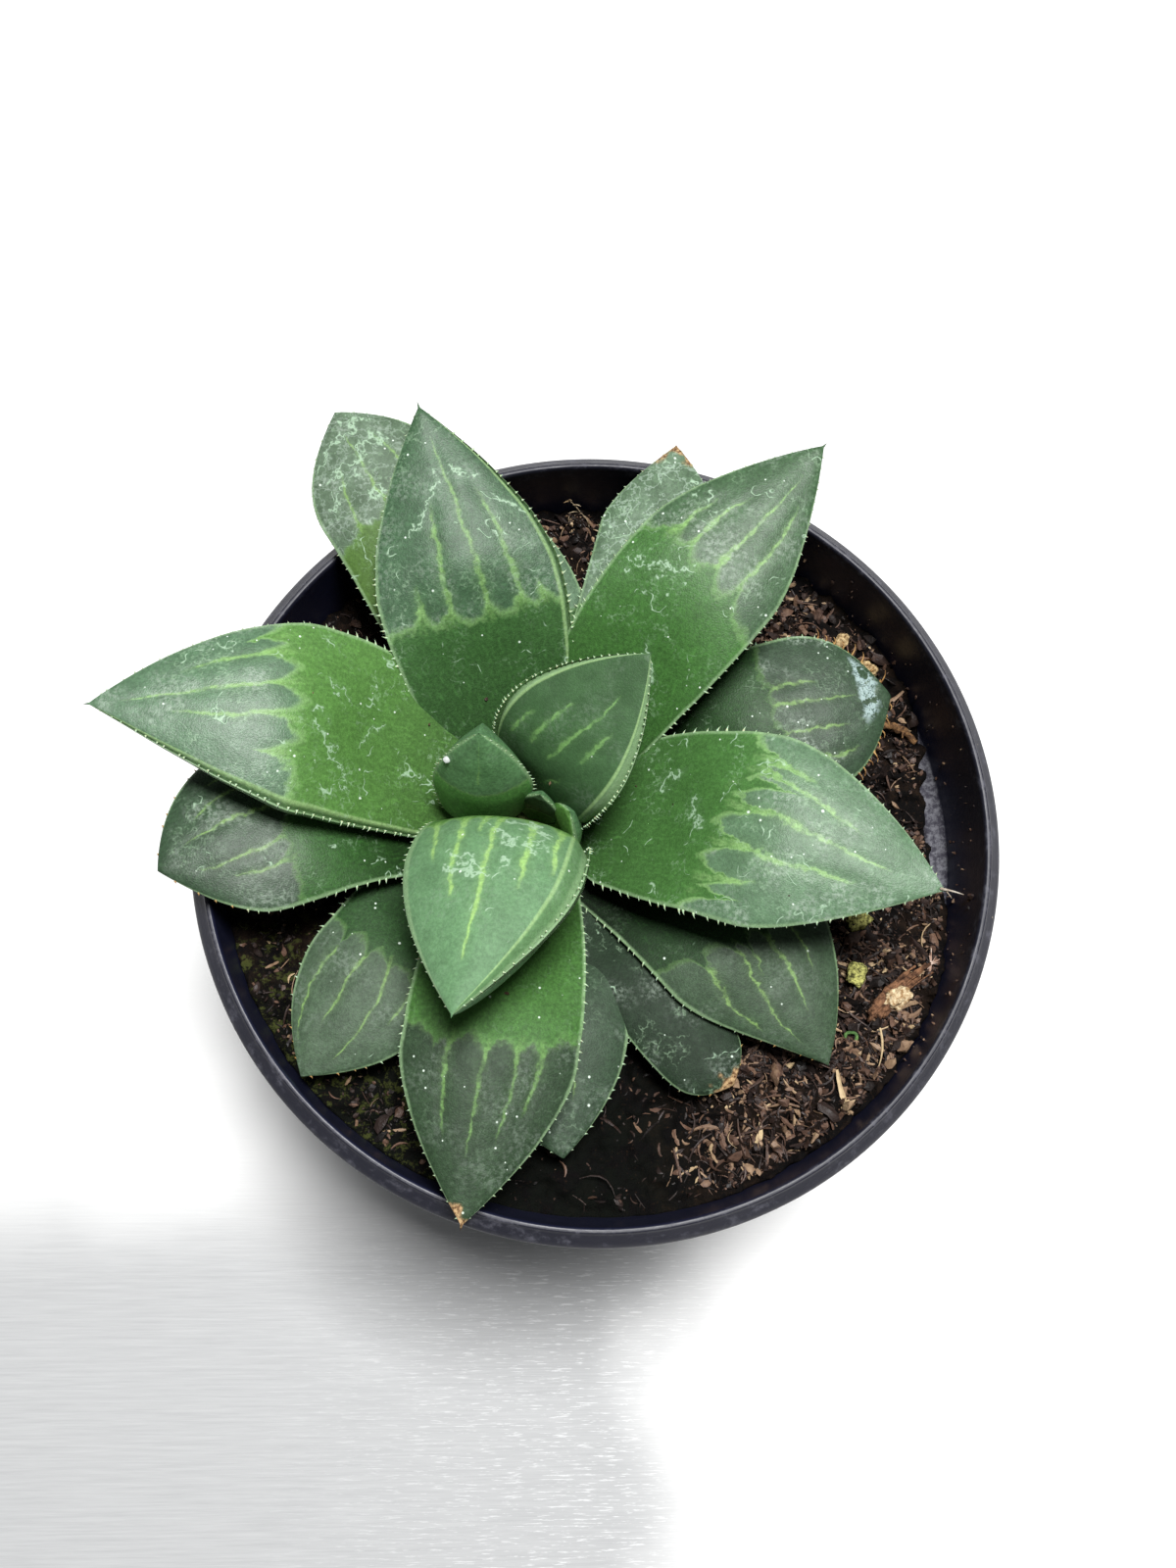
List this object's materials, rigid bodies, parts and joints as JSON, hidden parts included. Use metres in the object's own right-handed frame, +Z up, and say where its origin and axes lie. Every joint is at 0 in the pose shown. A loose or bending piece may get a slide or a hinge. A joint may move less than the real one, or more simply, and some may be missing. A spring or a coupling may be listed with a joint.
{
  "type": "potted haworthia",
  "caption": "Small rosette of thick toothed windowed leaves on a short leaning stem, in potting mix in a round collared black nursery pot.",
  "frame": {"origin": "middle of the flat pad under the pot's foot, on the surface that the pot stands on", "axes": "+Z up, -Y towards the front that the rosette is looked at from, +X to that viewer's right"},
  "size_m": [0.0982, 0.092, 0.0938],
  "materials": {
    "pot": "moulded black plastic, worn to a grey satin on the rim",
    "soil": "dark fibrous potting mix, crumbly and damp",
    "stem": "pale green fleshy root stock",
    "leaf": "succulent leaf, green at its foot, with a translucent grey-green veined window and a soft gloss",
    "young_leaf": "smooth bright green young succulent leaf with pale margins",
    "chip_tan": "tan bark chip",
    "chip_green": "yellow-green bark chip",
    "chip_cream": "cream husk chip",
    "twig": "dry brown twig"
  },
  "bodies": {
    "root": {"pot": "pot", "soil": "soil", "stem": "stem", "leaf_bud_inner": "young_leaf", "leaf_bud_outer": "young_leaf", "leaf_young_incurved": "young_leaf", "leaf_young_right": "young_leaf", "leaf_young_front": "young_leaf", "leaf_upper_back": "leaf", "leaf_upper_right": "leaf", "leaf_upper_front": "leaf", "leaf_upper_left": "leaf", "leaf_upper_back_right": "leaf", "leaf_lower_back_left": "leaf", "leaf_lower_left": "leaf", "leaf_lower_right": "leaf", "leaf_lower_front_right": "leaf", "leaf_lower_back_right": "leaf", "leaf_lower_back": "leaf", "leaf_lower_front": "leaf", "leaf_lower_front_left": "leaf", "leaf_lower_stub": "leaf", "chip_tan_upper": "chip_tan", "chip_tan_lower": "chip_tan", "chip_green_upper": "chip_green", "chip_green_lower": "chip_green", "chip_cream": "chip_cream", "twig": "twig"}
  },
  "joints": []
}
